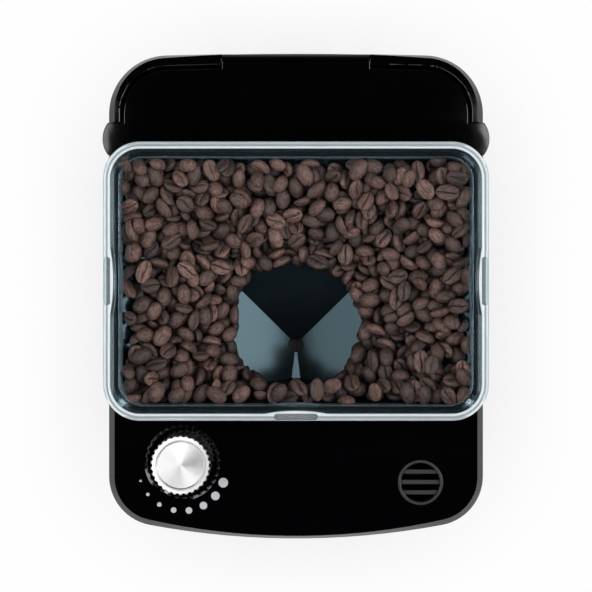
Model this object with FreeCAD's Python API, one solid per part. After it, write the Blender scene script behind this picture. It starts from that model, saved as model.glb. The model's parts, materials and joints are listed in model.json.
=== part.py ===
import FreeCAD, Part
import math
import os

# A counter-top burr coffee grinder. Millimetres, +Z up, front towards -Y.
# The origin is on the counter, under the middle of the footprint.

# Housing
body_width = 210.8
body_depth = 273.5
front_bow = 12.6
rear_bow = 2.3
front_corner = 28.0
rear_corner = 33.0
wall = 3.0
edge_round = 3.0
bevel_side = 3.8
bevel_front = 2.4
bevel_rear = 0.6
bevel_height = 7.0
base_round = 1.2
base_lap = 1.2
seam_round = 0.5
foot_height = 6.0
foot_radius = 9.0
foot_stem_radius = 3.0
foot_side_inset = 25.4
foot_front_inset = 44.75
foot_rear_inset = 36.75
base_thickness = 3.0
shell_height = 220.0
cover_height = 10.0
cover_skin = 3.0

# Screws and the columns of the shell that take them
column_side_inset = 17.4
column_hopper_inset = 21.2
column_rear_inset = 44.75
column_size = 14.0
screw_radius = 1.5
screw_head_radius = 3.0
screw_head = 1.7
screw_depth = 14.0

# Clearances
running_gap = 0.05
seat_gap = 0.05
slip_gap = 0.3

# Bean hopper
hopper_width = 204.8
hopper_depth = 148.2
hopper_lap = 3.0
hopper_height = 50.0
hopper_corner = 19.6
hopper_wall = 2.3
rim_height = 3.0
rim_overhang = 1.5
rim_round = 0.9
bead_radius = 0.72
bead_inset = 0.75
ledge_width = 3.2
ledge_round = 0.8
ledge_drop = 18.0
clip_length_side = 25.8
clip_length_front = 23.3
clip_width = 3.4
clip_lip = 0.4
clip_floor = 1.0
bulge_run = 5.0
bulge = 1.6
seal_thickness = 1.5

# Funnel under the beans, running to the burr axis
burr_inset = 38.2
feed_depth = 34.0
funnel_slope = 0.51
valley_slope = 0.066
valley_length = 19.5
funnel_foot = 14.0
funnel_skin = 3.0
feed_radius = 4.5
throat_radius = 9.0
throat_bore = 7.0
throat_length = 14.0
throat_lap = 4.0
opening_gap = 2.0

# Rear lid, its hinge and the tub under it
rim_strip = 7.0
lid_gap = 2.0
lid_depth = 57.75
lid_front_gap = 0.6
lid_skin = 2.5
lid_skirt = 2.2
lid_floor = 2.0
lid_edge = 0.5
lid_recess_round = 0.8
ear_reach = 3.0
ear_length = 18.0
tongue_width = 83.0
tongue_gap = 0.4
hinge_radius = 3.8
hinge_setback = 4.75
hinge_floor_gap = 0.7
hinge_pin_radius = 1.3
hinge_pin_lap = 6.0
tub_width = 160.0
tub_length = 34.0
tub_setback = 9.0
tub_depth = 100.0
tub_wall = 2.0
tub_corner = 5.0
tub_flange = 3.0
tub_flange_thickness = 1.5

# Grind dial and the dots of its scale
dial_side_inset = 41.7
dial_front_inset = 43.35
recess_radius = 19.4
recess_depth = 7.0
recess_wall = 2.0
recess_lip = 1.7
recess_lip_drop = 0.32
dial_radius = 16.5
dial_height = 15.0
dial_cap_height = 3.6
dial_body_inset = 0.5
dial_dish_radius = 13.3
dial_dish_depth = 1.0
dial_crown = 0.6
dial_edge = 0.6
dial_teeth = 30
dial_notch = 1.05
dial_shaft_radius = 4.0
dial_boss_radius = 8.0
dial_boss_drop = 6.0
dot_count = 8
dot_circle = 24.6
dot_setback = 2.35
dot_first_angle = 198.4
dot_step = 20.1
dot_first_radius = 0.72
dot_growth = 0.285
dot_thickness = 0.8
dot_proud = 0.06

# Round vent in the deck
vent_side_inset = 35.7
vent_front_inset = 32.35
vent_radius = 12.7
vent_ring = 1.8
vent_height = 6.0
vent_proud = 0.5
vent_lip = 1.0
vent_boss = 2.2
vent_bars = 3
vent_bar_width = 2.2
vent_bar_pitch = 5.8
vent_bar_height = 3.0
vent_bar_drop = 2.5

# Gears
pressure_angle = math.radians(25.0)
addendum = 0.9
dedendum = 1.2
backlash = 0.12
gear_slack = 0.1
adjuster_module = 2.0
ring_teeth = 40
dial_gear_teeth = 12
adjuster_face = 8.0
drive_module = 1.5
burr_gear_teeth = 44
drive_pinion_teeth = 14
drive_face = 9.0
motor_module = 1.25
reduction_teeth = 40
motor_pinion_teeth = 12
motor_face = 7.0
stage_gap = 0.6
idler_pin_radius = 3.0
pin_head = 2.0
axle_radius = 3.0

# Burrs and the chamber round them
shaft_radius = 4.0
ring_burr_radius = 24.0
ring_burr_height = 18.0
ring_burr_low_radius = 19.4
ring_burr_high_radius = 14.0
burr_gap = 0.5
cone_height = 20.0
cone_top_radius = 9.0
burr_flutes = 12
flute_radius = 1.1
nut_radius = 6.5
nut_height = 5.0
shaft_proud = 1.0
carrier_radius = 33.5
carrier_top_skin = 4.0
collar_wall = 4.0
collar_height = 6.0
chamber_wall = 4.0
chamber_lap = 12.0
chamber_floor = 3.0
impeller_height = 10.0
impeller_hub_radius = 9.0
impeller_blades = 6
blade_height = 7.0
blade_thickness = 2.5
blade_gap = 0.9
impeller_lift = 1.0
ledge_radius_step = 3.5
ledge_height = 3.0
ledge_below = 7.0
outlet_width = 28.0
outlet_height = 10.0
outlet_wall = 2.0
chute_length = 19.5
plate_thickness = 3.0
plate_boss_radius = 7.0
plate_arm = 22.0
gear_lift = 0.4

# Gear case, bearings and motor
bearing_radius = 8.0
bearing_height = 5.0
bearing_boss = 3.0
case_skin = 3.0
case_wall = 2.5
case_gap = 1.6
case_height = 34.0
case_split = 18.0
case_corner = 8.0
case_rear_reach = 10.0
case_gear_lift = 7.0
post_radius = 5.0
post_inset = 8.0
motor_setback = 70.0
motor_radius = 30.0
motor_height = 70.0
motor_skin = 2.0
motor_shaft_radius = 2.5
motor_end_height = 6.0
motor_end_skin = 3.0
magnet_thickness = 4.5
magnet_height = 50.0
magnet_gap_width = 18.0
rotor_radius = 22.0
rotor_height = 46.0
commutator_radius = 9.0
commutator_height = 8.0
damper_thickness = 4.0
damper_radius = 22.0
damper_bore = 14.0

# Grounds bin and the bay it slides in
bay_width = 124.0
bay_motor_gap = 8.0
bay_wall = 2.5
bin_gap = 1.0
bin_wall = 2.2
bin_headroom = 8.0
bin_floor = 2.5
front_thickness = 9.75
front_gap = 0.5
front_reach = 4.0
grip_width = 56.0
grip_height = 18.0
grip_depth = 6.5
grip_below_top = 18.0
bay_front_gap = 0.5

# Start button and the switch behind it
button_z = 184.0
button_radius = 9.0
button_recess = 0.4
button_travel = 2.5
button_flange = 2.0
button_flange_thickness = 1.5
button_stem_radius = 4.0
button_stem = 3.0
switch_width = 16.0
switch_length = 12.0
switch_height = 20.0
switch_shelf = 3.0
switch_shelf_margin = 4.0

# Control board and power inlet
board_width = 100.0
board_height = 70.0
board_thickness = 1.6
board_rear_inset = 32.75
guide_width = 8.0
guide_length = 10.0
guide_height = 16.0
relay_size = 18.0
relay_height = 14.0
capacitor_radius = 7.0
capacitor_length = 22.0
transformer_width = 30.0
transformer_height = 24.0
transformer_length = 20.0
inlet_side_inset = 60.4
inlet_z = 32.0
inlet_width = 26.0
inlet_height = 20.0
inlet_depth = 17.0
inlet_flange = 4.0
inlet_flange_thickness = 3.0
inlet_flange_set = 4.2
inlet_recess_width = 18.0
inlet_recess_height = 12.0
inlet_recess_depth = 14.0
inlet_pin_radius = 1.2
inlet_pin_pitch = 8.6
inlet_pin_length = 14.0
inlet_set_in = 0.9
air_slot_length = 44.0
air_slot_width = 3.0
air_slot_pitch = 9.0
air_slot_count = 5

# Levels, worked out from the sizes above
base_low = foot_height
base_top = base_low + base_thickness
seam_z = base_low + shell_height
deck_z = seam_z + cover_height
rim_z = deck_z + hopper_height
ledge_z = rim_z - ledge_drop
feed_z = deck_z - feed_depth
throat_low = feed_z - throat_length
carrier_top = throat_low + throat_lap
collar_low = carrier_top - collar_height
burr_high = collar_low - carrier_top_skin - carrier_top_skin
burr_low = burr_high - ring_burr_height
chamber_top = burr_low + chamber_lap
adjuster_low = chamber_top
adjuster_high = adjuster_low + adjuster_face
ledge_high = chamber_top - ledge_below
impeller_low = burr_low - impeller_height
chamber_low = impeller_low - impeller_lift - chamber_floor
case_top = chamber_low
case_low = case_top - case_height
case_split_z = case_low + case_split
drive_low = case_low + case_gear_lift
drive_high = drive_low + drive_face
reduction_low = drive_high + stage_gap
reduction_high = reduction_low + motor_face
motor_top = case_low - damper_thickness
motor_low = motor_top - motor_height
cone_top = burr_low + cone_height
nut_top = cone_top + nut_height
shaft_top = nut_top + shaft_proud
floor_z = seam_z + lid_floor
lid_low = floor_z + tub_flange_thickness + slip_gap
dial_floor = deck_z - recess_depth
dial_top = deck_z + dial_height
cap_low = dial_top - dial_cap_height
far = 2.0 * body_depth

# Places in plan, worked out from the sizes above
side_x = body_width / 2.0
rear_y = body_depth / 2.0
front_y = -body_depth / 2.0
lid_front_y = rear_y - lid_depth
tub_front_y = lid_front_y + tub_setback
hopper_front_y = lid_front_y + hopper_lap - hopper_depth
hopper_centre_y = hopper_front_y + hopper_depth / 2.0
burr_y = hopper_front_y + burr_inset
motor_y = burr_y + motor_setback
bay_rear_y = motor_y - motor_radius - bay_motor_gap
dial_x = dial_side_inset - side_x
dial_y = front_y + dial_front_inset
vent_x = side_x - vent_side_inset
vent_y = front_y + vent_front_inset
foot_x = side_x - foot_side_inset
foot_front_y = front_y + foot_front_inset
foot_rear_y = rear_y - foot_rear_inset
column_x = side_x - column_side_inset
column_front_y = hopper_front_y + column_hopper_inset
column_rear_y = rear_y - column_rear_inset
board_y = rear_y - board_rear_inset
inlet_x = side_x - inlet_side_inset
hinge_y = rear_y - hinge_setback
hinge_z = deck_z - hinge_radius
recess_front_y = lid_front_y - lid_front_gap
ear_rear_y = lid_front_y + ear_length
upper_inset = rim_overhang + hopper_wall
lower_inset = upper_inset + ledge_width
skirt_inset = lower_inset - hopper_wall
front_inner_y = hopper_front_y + lower_inset
chamber_radius = carrier_radius + running_gap
chamber_outer = chamber_radius + chamber_wall


def point(x, y, z):
    return FreeCAD.Vector(x, y, z)


def block(x0, x1, y0, y1, z0, z1):
    return Part.makeBox(x1 - x0, y1 - y0, z1 - z0, point(x0, y0, z0))


def rod(x, y, z0, z1, radius):
    return Part.makeCylinder(radius, z1 - z0, point(x, y, z0))


def tube(x, y, z0, z1, outer, inner):
    return rod(x, y, z0, z1, outer).cut(rod(x, y, z0, z1, inner))


def lying_rod(x0, x1, y, z, radius):
    return Part.makeCylinder(radius, x1 - x0, point(x0, y, z), point(1, 0, 0))


def deep_rod(x, y0, y1, z, radius):
    return Part.makeCylinder(radius, y1 - y0, point(x, y0, z), point(0, 1, 0))


def joined(shapes):
    return shapes[0].multiFuse(shapes[1:]).removeSplitter()


def upright_edges(shape):
    small = 1e-6
    return [e for e in shape.Edges if e.BoundBox.XLength < small and e.BoundBox.YLength < small]


def edges_at(shape, level):
    small = 1e-6
    return [e for e in shape.Edges if abs(e.BoundBox.ZMin - level) + abs(e.BoundBox.ZMax - level) < small]


def rounded_block(x0, x1, y0, y1, z0, z1, corner):
    shape = block(x0, x1, y0, y1, z0, z1)
    return shape.makeFillet(corner, upright_edges(shape))


def line(a, b):
    return Part.LineSegment(a, b).toShape()


def arc(a, b, c):
    return Part.Arc(a, b, c).toShape()


def prism(edges, sweep):
    return Part.Face(Part.Wire(edges)).extrude(sweep)


def polygon_prism(points, sweep):
    return Part.Face(Part.makePolygon(points + points[:1])).extrude(sweep)


def body_prism(inset, z0, z1):
    """The housing outline, drawn in by inset, between two levels."""
    return bowed_prism(inset, inset, inset, z0, z1)


def bowed_prism(inset, front_inset, rear_inset, z0, z1):
    """The housing outline, drawn in by different amounts at the sides, front and rear."""
    x = side_x - inset
    front = front_y + front_inset
    rear = rear_y - rear_inset
    front_side = front_y + inset + front_bow
    rear_side = rear_y - inset - rear_bow
    edges = [
        arc(point(-x, front_side, z0), point(0, front, z0), point(x, front_side, z0)),
        line(point(x, front_side, z0), point(x, rear_side, z0)),
        arc(point(x, rear_side, z0), point(0, rear, z0), point(-x, rear_side, z0)),
        line(point(-x, rear_side, z0), point(-x, front_side, z0)),
    ]
    shape = prism(edges, point(0, 0, z1 - z0))
    rear_edges = [e for e in upright_edges(shape) if e.BoundBox.YMin > 0]
    shape = shape.makeFillet(rear_corner - inset, rear_edges)
    front_edges = [e for e in upright_edges(shape) if e.BoundBox.YMin < 0]
    front_edges = [e for e in front_edges if abs(e.BoundBox.YMin - front_side) < 1e-3]
    return shape.makeFillet(front_corner - inset, front_edges)


def outline_at(shape, level):
    """The outer wire of a prism's flat face at a level."""
    flat = [f for f in shape.Faces if f.BoundBox.ZLength < seat_gap]
    return [f for f in flat if abs(f.BoundBox.ZMin - level) < seat_gap][0].OuterWire


def bevelled_body():
    """The deck's outside: an upright wall with a bevel above it that thins out at the front and the rear."""
    low_z = deck_z - bevel_height
    upright = body_prism(0, seam_z, low_z)
    upright = upright.makeFillet(seam_round, edges_at(upright, seam_z))
    narrow = bowed_prism(bevel_side, bevel_front, bevel_rear, deck_z, deck_z + bevel_height)
    bevel = Part.makeLoft([outline_at(upright, low_z), outline_at(narrow, deck_z)], True, True)
    return upright.fuse(bevel)


def hopper_prism(inset, z0, z1):
    """The hopper outline, drawn in by inset, between two levels."""
    x = hopper_width / 2.0 - inset
    y = hopper_depth / 2.0 - inset
    middle = hopper_centre_y
    return rounded_block(-x, x, middle - y, middle + y, z0, z1, hopper_corner - inset)


def screw(x, y, head_z, down):
    """A screw with its head on head_z, its shank pointing down or up."""
    if down:
        return rod(x, y, head_z, head_z + screw_head, screw_head_radius).fuse(
            rod(x, y, head_z - screw_depth, head_z, screw_radius))
    return rod(x, y, head_z - screw_head, head_z, screw_head_radius).fuse(
        rod(x, y, head_z, head_z + screw_depth, screw_radius))


def column_places():
    return [(sx * column_x, y) for sx in (-1, 1) for y in (column_front_y, column_rear_y)]


# Gears

def involute(ratio):
    reach = math.sqrt(max(ratio * ratio - 1.0, 0.0))
    return reach - math.atan(reach)


def gear(teeth, module, z0, z1, place, phase, bore):
    """A spur gear with involute flanks and one tooth centred on the angle phase."""
    pitch = teeth * module / 2.0
    tip = pitch + addendum * module
    root = pitch - dedendum * module
    base = pitch * math.cos(pressure_angle)
    start = max(base, root)
    middle = (start + tip) / 2.0
    half_tooth = (math.pi * module / 2.0 - backlash) / (2.0 * pitch)

    def half_angle(radius):
        return half_tooth + involute(pitch / base) - involute(radius / base)

    def at(radius, angle):
        return point(place[0] + radius * math.cos(angle), place[1] + radius * math.sin(angle), z0)

    edges = []
    step = 2.0 * math.pi / teeth
    for k in range(teeth):
        centre = phase + k * step
        left = [at(r, centre - half_angle(r)) for r in (start, middle, tip)]
        right = [at(r, centre + half_angle(r)) for r in (tip, middle, start)]
        foot_left = at(root, centre - half_angle(start))
        foot_right = at(root, centre + half_angle(start))
        foot_next = at(root, centre + step - half_angle(start))
        if start > root:
            edges.append(line(foot_left, left[0]))
        edges.append(arc(*left))
        edges.append(arc(left[2], at(tip, centre), right[0]))
        edges.append(arc(*right))
        if start > root:
            edges.append(line(right[2], foot_right))
        edges.append(arc(foot_right, at(root, centre + step / 2.0), foot_next))
    shape = prism(edges, point(0, 0, z1 - z0))
    return shape.cut(rod(place[0], place[1], z0, z1, bore))


def mating_phase(phase, teeth, direction, mate_teeth):
    """The phase of a gear that meshes with another one lying along direction."""
    return direction + math.pi + math.pi / mate_teeth - (phase - direction) * teeth / mate_teeth


def centre_distance(teeth, mate_teeth, module):
    return (teeth + mate_teeth) * module / 2.0 + gear_slack


def gear_tip(teeth, module):
    return teeth * module / 2.0 + addendum * module


def between(a, b, from_a, from_b, side):
    """The point at two given distances from a and b, to one side of the line a to b."""
    span = math.hypot(b[0] - a[0], b[1] - a[1])
    along = (from_a ** 2 - from_b ** 2 + span ** 2) / (2.0 * span)
    off = side * math.sqrt(max(from_a ** 2 - along ** 2, 0.0))
    ux = (b[0] - a[0]) / span
    uy = (b[1] - a[1]) / span
    return (a[0] + along * ux - off * uy, a[1] + along * uy + off * ux)


def heading(a, b):
    return math.atan2(b[1] - a[1], b[0] - a[0])


burr_axis = (0.0, burr_y)
dial_axis = (dial_x, dial_y)
motor_axis = (0.0, motor_y)

dial_span = math.hypot(dial_x, dial_y - burr_y)
idler_reach = 2.0 * (dial_span - gear_slack) / adjuster_module
idler_teeth = math.ceil((idler_reach - ring_teeth - dial_gear_teeth) / 2.0)
idler_axis = between(
    burr_axis,
    dial_axis,
    centre_distance(ring_teeth, idler_teeth, adjuster_module),
    centre_distance(idler_teeth, dial_gear_teeth, adjuster_module),
    1,
)
ring_phase = heading(burr_axis, idler_axis)
idler_phase = mating_phase(ring_phase, ring_teeth, heading(burr_axis, idler_axis), idler_teeth)
dial_phase = mating_phase(idler_phase, idler_teeth, heading(idler_axis, dial_axis), dial_gear_teeth)

axle_axis = between(
    burr_axis,
    motor_axis,
    centre_distance(burr_gear_teeth, drive_pinion_teeth, drive_module),
    centre_distance(reduction_teeth, motor_pinion_teeth, motor_module),
    -1,
)
burr_phase = heading(burr_axis, axle_axis)
pinion_phase = mating_phase(burr_phase, burr_gear_teeth, heading(burr_axis, axle_axis), drive_pinion_teeth)
reduction_phase = heading(axle_axis, motor_axis)
motor_phase = mating_phase(reduction_phase, reduction_teeth, reduction_phase, motor_pinion_teeth)

case_reach = gear_tip(burr_gear_teeth, drive_module) + case_gap + case_wall
case_front = burr_y - case_reach
case_left = -case_reach
case_right = max(case_reach, axle_axis[0] + gear_tip(reduction_teeth, motor_module) + case_gap + case_wall)
case_rear = motor_y + motor_radius + case_rear_reach
chute_front = case_front - chute_length
chute_side = outlet_width / 2.0 + outlet_wall
outlet_low = chamber_low + chamber_floor
outlet_high = outlet_low + outlet_height
bay_side = bay_width / 2.0
bay_top = case_low
bin_back = front_y + front_thickness
window_top = bay_top + front_reach
panel_top = window_top - front_gap
window_low = base_top + bay_wall - front_gap


# Housing

def base_plate():
    shape = body_prism(wall - base_lap + slip_gap, base_low, base_top)
    cuts = []
    for x, y in column_places():
        cuts.append(rod(x, y, base_low, base_top, screw_radius + seat_gap))
        cuts.append(rod(x, y, base_low, base_low + screw_head, screw_head_radius + slip_gap))
    for x, y in foot_places():
        cuts.append(rod(x, y, base_low, base_top, foot_stem_radius + seat_gap))
    for k in range(air_slot_count):
        y = motor_y + (k - (air_slot_count - 1) / 2.0) * air_slot_pitch
        half = air_slot_length / 2.0
        cuts.append(block(-half, half, y, y + air_slot_width, base_low, base_top))
    shape = shape.cut(cuts)
    guides = []
    for side in (-1, 1):
        x = side * board_width / 2.0
        guide = block(x - guide_width / 2.0, x + guide_width / 2.0, board_y - guide_length / 2.0,
                      board_y + guide_length / 2.0, base_top, base_top + guide_height)
        guides.append(guide.cut(block(-board_width / 2.0 - slip_gap, board_width / 2.0 + slip_gap,
                                      board_y - seat_gap, board_y + board_thickness + seat_gap,
                                      base_top, base_top + guide_height)))
    return joined([shape] + guides)


def foot_places():
    return [(sx * foot_x, y) for sx in (-1, 1) for y in (foot_front_y, foot_rear_y)]


def rubber_feet():
    feet = []
    for x, y in foot_places():
        pad = rod(x, y, 0, base_low, foot_radius)
        pad = pad.makeFillet(rim_round, edges_at(pad, 0))
        feet.append(pad.fuse(rod(x, y, base_low, base_top, foot_stem_radius)))
    return Part.makeCompound(feet)


def base_screws():
    level = base_low + screw_head
    return Part.makeCompound([screw(x, y, level, False) for x, y in column_places()])


def outer_shell():
    shape = body_prism(0, base_low, seam_z)
    shape = shape.makeFillet(base_round, edges_at(shape, base_low))
    shape = shape.makeFillet(seam_round, edges_at(shape, seam_z))
    shape = shape.cut([body_prism(wall, base_top, seam_z), body_prism(wall - base_lap, base_low, base_top)])
    columns = []
    inside = body_prism(wall / 2.0, base_top, seam_z)
    for x, y in column_places():
        near = x - math.copysign(column_size / 2.0, x)
        x0, x1 = sorted((near, math.copysign(side_x, x)))
        half = column_size / 2.0
        columns.append(block(x0, x1, y - half, y + half, base_top, seam_z).common(inside))
    shelf_half = switch_width / 2.0 + switch_shelf_margin
    shelf = block(-shelf_half, shelf_half, front_y, switch_front_y() + switch_length,
                  switch_low() - switch_shelf, switch_low())
    shape = joined([shape, shelf.common(inside)] + columns)
    cuts = []
    for x, y in column_places():
        cuts.append(rod(x, y, base_top, base_top + screw_depth, screw_radius + seat_gap))
        cuts.append(rod(x, y, seam_z - screw_depth, seam_z, screw_radius + seat_gap))
    cuts.append(block(-bay_side, bay_side, -far, bin_back + bay_front_gap, window_low, window_top))
    cuts.append(deep_rod(0, front_y - wall, front_y + 2.0 * wall, button_z, button_radius + slip_gap))
    half = inlet_width / 2.0 + slip_gap
    rise = inlet_height / 2.0 + slip_gap
    cuts.append(block(inlet_x - half, inlet_x + half, rear_y - 3.0 * wall, far,
                      inlet_z - rise, inlet_z + rise))
    return shape.cut(cuts)


def funnel_half_width(level):
    return (level - feed_z + funnel_skin) / funnel_slope


def funnel_front_at(level):
    valley_y = burr_y - valley_length - hopper_wall
    valley_z = feed_z - funnel_skin + valley_slope * (valley_length + hopper_wall)
    foot_y = front_inner_y - hopper_wall
    share = (level - valley_z) / (deck_z + funnel_foot - valley_z)
    return valley_y + share * (foot_y - valley_y)


def recess_edge():
    """The shallow cone round the dial's recess, carried on above the deck."""
    low = point(dial_x, dial_y, deck_z - recess_lip_drop)
    return Part.makeCone(recess_radius, recess_radius + 2.0 * recess_lip, 2.0 * recess_lip_drop, low)


def top_deck():
    shape = bevelled_body()
    riser_y = recess_front_y - wall
    hollow = body_prism(wall, seam_z, deck_z - cover_skin)
    shape = shape.cut(hollow.common(block(-far, far, -far, riser_y, 0, far)))
    dial_cup = rod(dial_x, dial_y, dial_floor - recess_wall, deck_z - edge_round / 2.0,
                   recess_radius + recess_wall)
    dial_boss = rod(dial_x, dial_y, dial_floor - recess_wall - dial_boss_drop, dial_floor, dial_boss_radius)
    vent_floor = deck_z + vent_proud - vent_height
    vent_cup = rod(vent_x, vent_y, vent_floor - vent_lip, deck_z - edge_round / 2.0, vent_radius + vent_boss)
    posts = [block(math.copysign(column_x, x) - column_size / 2.0,
                   math.copysign(column_x, x) + column_size / 2.0,
                   y - column_size / 2.0, y + column_size / 2.0, seam_z, deck_z - cover_skin / 2.0)
             for x, y in column_places() if y < 0]
    shape = joined([shape, dial_cup, dial_boss, vent_cup] + posts)
    half = funnel_half_width(deck_z) + opening_gap
    recess = body_prism(rim_strip, floor_z, far).common(block(-far, far, recess_front_y, far, 0, far))
    tongue = tongue_width / 2.0 + tongue_gap
    tub_half = tub_width / 2.0 + slip_gap
    cuts = [
        rounded_block(-half, half, funnel_front_at(deck_z) - seat_gap, burr_y + half, seam_z, far,
                      opening_gap),
        rod(dial_x, dial_y, dial_floor, far, recess_radius),
        recess_edge(),
        rod(dial_x, dial_y, 0, far, dial_shaft_radius + running_gap),
        rod(vent_x, vent_y, vent_floor, far, vent_radius + seat_gap),
        rod(vent_x, vent_y, 0, far, vent_radius - vent_ring),
        recess,
        block(-far, far, recess_front_y, ear_rear_y + lid_front_gap, floor_z, far),
        block(-tongue, tongue, hinge_y - 2.0 * hinge_radius, far,
              hinge_z - hinge_radius - hinge_floor_gap, far),
        lying_rod(-tongue - hinge_pin_lap, tongue + hinge_pin_lap, hinge_y, hinge_z,
                  hinge_pin_radius + seat_gap),
        rounded_block(-tub_half, tub_half, tub_front_y - slip_gap, tub_front_y + tub_length + slip_gap,
                      seam_z, far, tub_corner),
    ]
    for x, y in column_places():
        cuts.append(rod(x, y, seam_z, far, screw_radius + seat_gap))
    shape = shape.cut(cuts)
    room = recess.BoundBox
    room.enlarge(seat_gap)
    inner = [e for e in edges_at(shape, deck_z) if room.isInside(e.BoundBox)]
    inner = [e for e in inner if e.BoundBox.YMin > ear_rear_y]
    shape = shape.makeFillet(lid_recess_round, inner)
    return shape.cut([rod(x, y, deck_z - dot_thickness, far, radius) for x, y, radius in dot_places()])


def deck_screws():
    screws = [screw(x, y, deck_z if y < 0 else floor_z, True) for x, y in column_places()]
    long_shanks = [rod(x, y, seam_z - screw_depth / 2.0, deck_z, screw_radius)
                   for x, y in column_places() if y < 0]
    front = [s for s in screws if s.BoundBox.YMin < 0]
    rear = [s for s in screws if s.BoundBox.YMin > 0]
    return Part.makeCompound(rear + [s.fuse(t) for s, t in zip(front, long_shanks)])


def vent_grille():
    low = deck_z + vent_proud - vent_height
    ring = tube(vent_x, vent_y, low, deck_z + vent_proud, vent_radius, vent_radius - vent_ring)
    ring = ring.makeFillet(vent_proud, edges_at(ring, deck_z + vent_proud))
    inside = rod(vent_x, vent_y, low, deck_z, vent_radius - vent_ring / 2.0)
    top = deck_z - vent_bar_drop
    bars = []
    for k in range(vent_bars):
        y = vent_y + (k - (vent_bars - 1) / 2.0) * vent_bar_pitch
        half = vent_bar_width / 2.0
        bar = block(vent_x - vent_radius, vent_x + vent_radius, y - half, y + half,
                    top - vent_bar_height, top)
        bars.append(bar.common(inside))
    return joined([ring] + bars)


def dot_places():
    places = []
    for k in range(dot_count):
        angle = math.radians(dot_first_angle + k * dot_step)
        x = dial_x + dot_circle * math.cos(angle)
        y = dial_y - dot_setback + dot_circle * math.sin(angle)
        places.append((x, y, dot_first_radius + k * dot_growth))
    return places


def scale_dots():
    low = deck_z - dot_thickness
    high = deck_z + dot_proud
    return Part.makeCompound([rod(x, y, low, high, r - seat_gap / 2.0) for x, y, r in dot_places()])


# Rear lid and tub

def rear_lid():
    inset = rim_strip + lid_gap
    main = body_prism(inset, lid_low, deck_z).common(block(-far, far, lid_front_y, far, 0, far))
    wings = []
    for side in (-1, 1):
        inner = side * (side_x - 2.0 * inset)
        outer = side * side_x
        tip = side * (side_x + ear_reach)
        middle = (lid_front_y + ear_rear_y) / 2.0
        a = point(outer, lid_front_y, lid_low)
        b = point(outer, ear_rear_y, lid_low)
        edges = [
            line(point(inner, lid_front_y, lid_low), a),
            arc(a, point(tip, middle, lid_low), b),
            line(b, point(inner, ear_rear_y, lid_low)),
            line(point(inner, ear_rear_y, lid_low), point(inner, lid_front_y, lid_low)),
        ]
        wings.append(prism(edges, point(0, 0, deck_z - lid_low)))
    half = tongue_width / 2.0
    tongue = block(-half, half, rear_y - 2.0 * inset, hinge_y, hinge_z - hinge_radius / 2.0, deck_z)
    knuckle = lying_rod(-half, half, hinge_y, hinge_z, hinge_radius)
    shape = joined([main, tongue] + wings)
    outline = [e for e in edges_at(shape, deck_z) if e.BoundBox.YMin < hinge_y - seat_gap]
    shape = shape.makeFillet(lid_edge, outline)
    pocket = body_prism(inset + lid_skirt, 0, deck_z - lid_skin)
    pocket = pocket.common(block(-far, far, lid_front_y + lid_skirt, rear_y - 2.0 * inset, 0, far))
    shape = joined([shape.cut(pocket), knuckle])
    return shape.cut(lying_rod(-half, half, hinge_y, hinge_z, hinge_pin_radius + running_gap))


def lid_hinge_pin():
    reach = tongue_width / 2.0 + tongue_gap + hinge_pin_lap - slip_gap
    return lying_rod(-reach, reach, hinge_y, hinge_z, hinge_pin_radius)


def rear_tub():
    half = tub_width / 2.0
    rear = tub_front_y + tub_length
    low = floor_z - tub_depth
    body = rounded_block(-half, half, tub_front_y, rear, low, floor_z, tub_corner)
    f = tub_flange
    flange = rounded_block(-half - f, half + f, tub_front_y - f, rear + f, floor_z,
                           floor_z + tub_flange_thickness, tub_corner + f)
    w = tub_wall
    inside = rounded_block(-half + w, half - w, tub_front_y + w, rear - w, low + w, far, tub_corner - w)
    return joined([body, flange]).cut(inside)


# Hopper

def funnel_void(skin, front_shift):
    """The space above the funnel's planes, lowered by skin and moved forward by front_shift."""
    low = feed_z - skin
    reach = hopper_width
    top = rim_z + reach
    across = [point(0, -far, low), point(reach, -far, low + funnel_slope * reach), point(reach, -far, top),
              point(-reach, -far, top), point(-reach, -far, low + funnel_slope * reach)]
    valley = valley_length + front_shift
    foot_y = front_inner_y - front_shift
    along = [point(-far, burr_y, low), point(-far, burr_y - valley, low + valley_slope * valley),
             point(-far, foot_y, deck_z + funnel_foot), point(-far, foot_y, top),
             point(-far, burr_y + reach, top), point(-far, burr_y + reach, low + funnel_slope * reach)]
    sweep = 2.0 * far
    void = polygon_prism(across, point(0, sweep, 0)).common(polygon_prism(along, point(sweep, 0, 0)))
    return void.common(hopper_prism(lower_inset + seat_gap, low - funnel_skin, rim_z))


def lens(reach, length, bump, z0, z1):
    """A swelling on a wall at x = reach that bows inward by bump."""
    half = length / 2.0
    a = point(reach, -half, z0)
    b = point(reach, half, z0)
    return prism([arc(a, point(reach - bump, 0, z0), b), line(b, a)], point(0, 0, z1 - z0))


def clip_places():
    """Clip slots: half reach of the rim there, slot length, turn about the hopper's middle."""
    side = hopper_width / 2.0
    front = hopper_depth / 2.0
    return [(side, clip_length_side, 0.0), (side, clip_length_side, 180.0), (front, clip_length_front, 270.0)]


def set_round(shape, turn):
    """Turn a shape drawn about the origin and put it at the hopper's middle."""
    shape.rotate(point(0, 0, 0), point(0, 0, 1), turn)
    shape.translate(point(0, hopper_centre_y, 0))
    return shape


def clip_slot(reach, length):
    half = clip_width / 2.0
    centre = reach - clip_lip - half
    run = length / 2.0 - half
    z0 = rim_z - rim_height + clip_floor
    return joined([block(centre - half, centre + half, -run, run, z0, far),
                   rod(centre, -run, z0, far, half), rod(centre, run, z0, far, half)])


def ledge_edges(shape):
    """The inner edge of the ledge round the hopper."""
    room = hopper_prism(lower_inset, ledge_z - ledge_round, ledge_z + ledge_round).BoundBox
    room.enlarge(seat_gap)
    return [e for e in edges_at(shape, ledge_z) if room.isInside(e.BoundBox)]


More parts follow.
